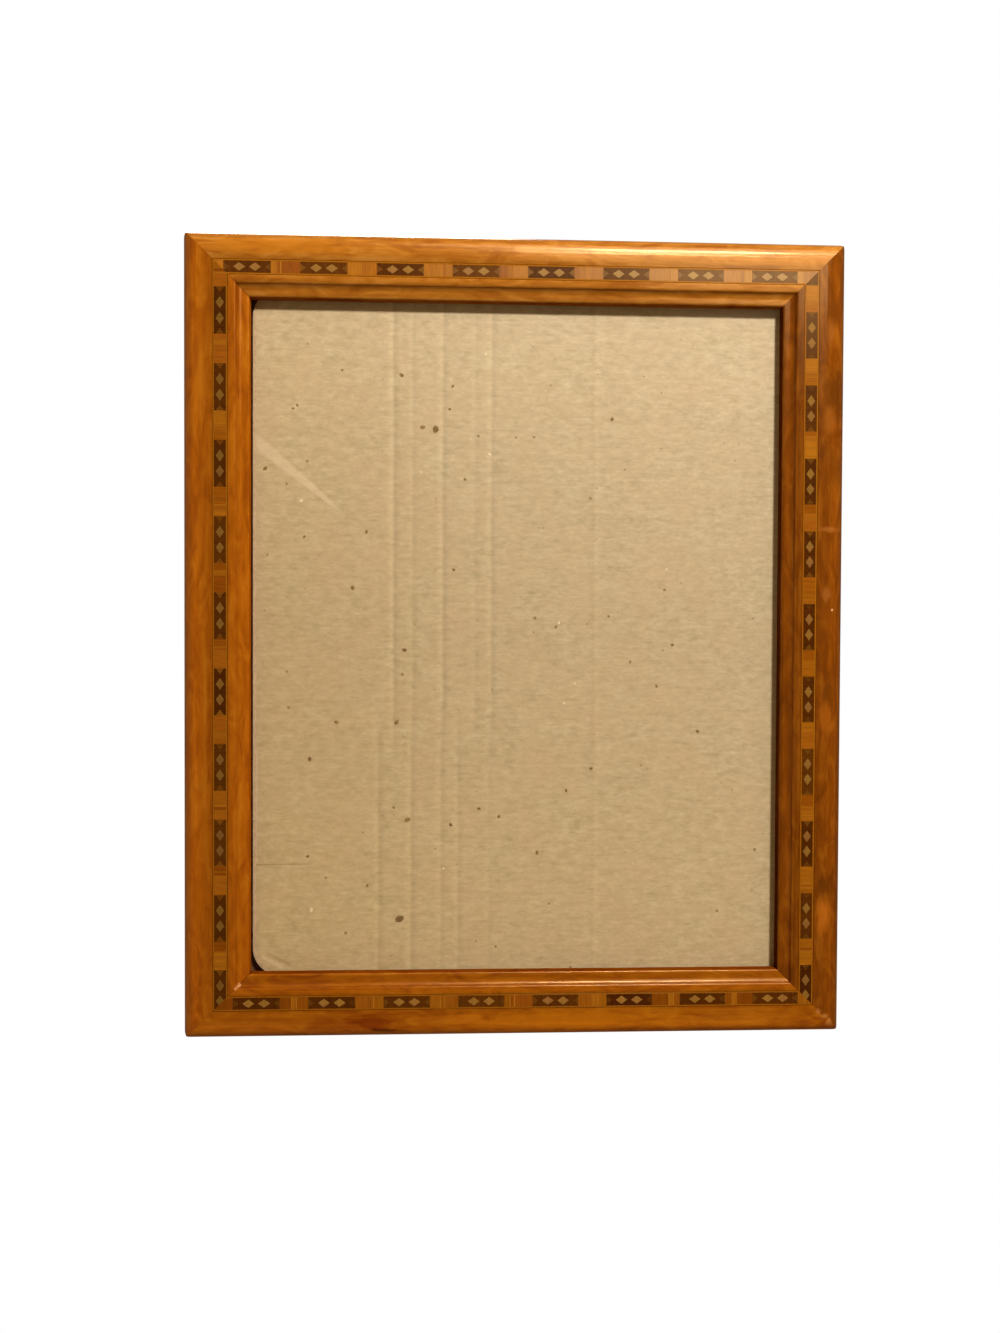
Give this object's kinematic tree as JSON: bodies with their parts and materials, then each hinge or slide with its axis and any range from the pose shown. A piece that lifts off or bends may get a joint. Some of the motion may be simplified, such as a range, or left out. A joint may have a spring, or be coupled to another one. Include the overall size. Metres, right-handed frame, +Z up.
{
  "type": "picture frame",
  "caption": "Rectangular wooden picture frame: domed and stepped moulding with a geometric inlaid band, glass, corrugated cardboard, back panel on turn buttons, sawtooth hanger.",
  "frame": {"origin": "centre notch of the sawtooth hanger, on the plane of the frame's back", "axes": "+X to the right as seen from the front, +Y from the front towards the wall, +Z up"},
  "size_m": [0.2448, 0.0191, 0.2956],
  "materials": {
    "rail_wood": "glossy honey-orange varnish over a streaky brown wood",
    "pale_veneer": "pale veneer stringing and cross lines under varnish",
    "dark_veneer": "dark olive-brown veneer under varnish",
    "diamond_veneer": "pale tan veneer under varnish",
    "olive_veneer": "olive-grey dyed veneer under varnish",
    "orange_veneer": "orange-brown veneer under varnish",
    "clear_glass": "plain clear picture glass",
    "corrugated_board": "plain brown corrugated cardboard, creased along its flutes",
    "hardboard": "dark brown hardboard",
    "zinc_steel": "zinc-plated steel",
    "brass_plate": "brass-plated steel",
    "nail_steel": "plain steel"
  },
  "bodies": {
    "frame": {"rail_bottom": "rail_wood", "rail_left": "rail_wood", "rail_top": "rail_wood", "rail_right": "rail_wood", "stringing_bottom": "pale_veneer", "stringing_left": "pale_veneer", "stringing_top": "pale_veneer", "stringing_right": "pale_veneer", "ground_bottom": "dark_veneer", "ground_left": "dark_veneer", "ground_top": "dark_veneer", "ground_right": "dark_veneer", "diamonds_bottom": "diamond_veneer", "diamonds_left": "diamond_veneer", "diamonds_top": "diamond_veneer", "diamonds_right": "diamond_veneer", "half_diamonds_bottom": "olive_veneer", "half_diamonds_left": "olive_veneer", "half_diamonds_top": "olive_veneer", "half_diamonds_right": "olive_veneer", "spacers_bottom": "orange_veneer", "spacers_left": "orange_veneer", "spacers_top": "orange_veneer", "spacers_right": "orange_veneer", "cross_lines_bottom": "pale_veneer", "cross_lines_left": "pale_veneer", "cross_lines_top": "pale_veneer", "cross_lines_right": "pale_veneer", "glass": "clear_glass", "cardboard": "corrugated_board", "back_panel": "hardboard", "button_screws": "brass_plate", "hanger": "brass_plate", "hanger_nails": "brass_plate", "corner_nails": "nail_steel"},
    "turn_button_left_upper": {"turn_button_left_upper": "zinc_steel"},
    "turn_button_left_lower": {"turn_button_left_lower": "zinc_steel"},
    "turn_button_right_upper": {"turn_button_right_upper": "zinc_steel"},
    "turn_button_right_lower": {"turn_button_right_lower": "zinc_steel"}
  },
  "joints": [
    {"name": "turn_button_left_upper_pivot", "type": "hinge", "parent": "frame", "child": "turn_button_left_upper", "pos_m": [-0.1114, 0, -0.0621], "axis": [0, 1, 0], "continuous": true},
    {"name": "turn_button_left_lower_pivot", "type": "hinge", "parent": "frame", "child": "turn_button_left_lower", "pos_m": [-0.1114, 0, -0.2099], "axis": [0, 1, 0], "continuous": true},
    {"name": "turn_button_right_upper_pivot", "type": "hinge", "parent": "frame", "child": "turn_button_right_upper", "pos_m": [0.1114, 0, -0.0621], "axis": [0, 1, 0], "continuous": true},
    {"name": "turn_button_right_lower_pivot", "type": "hinge", "parent": "frame", "child": "turn_button_right_lower", "pos_m": [0.1114, 0, -0.2099], "axis": [0, 1, 0], "continuous": true}
  ]
}
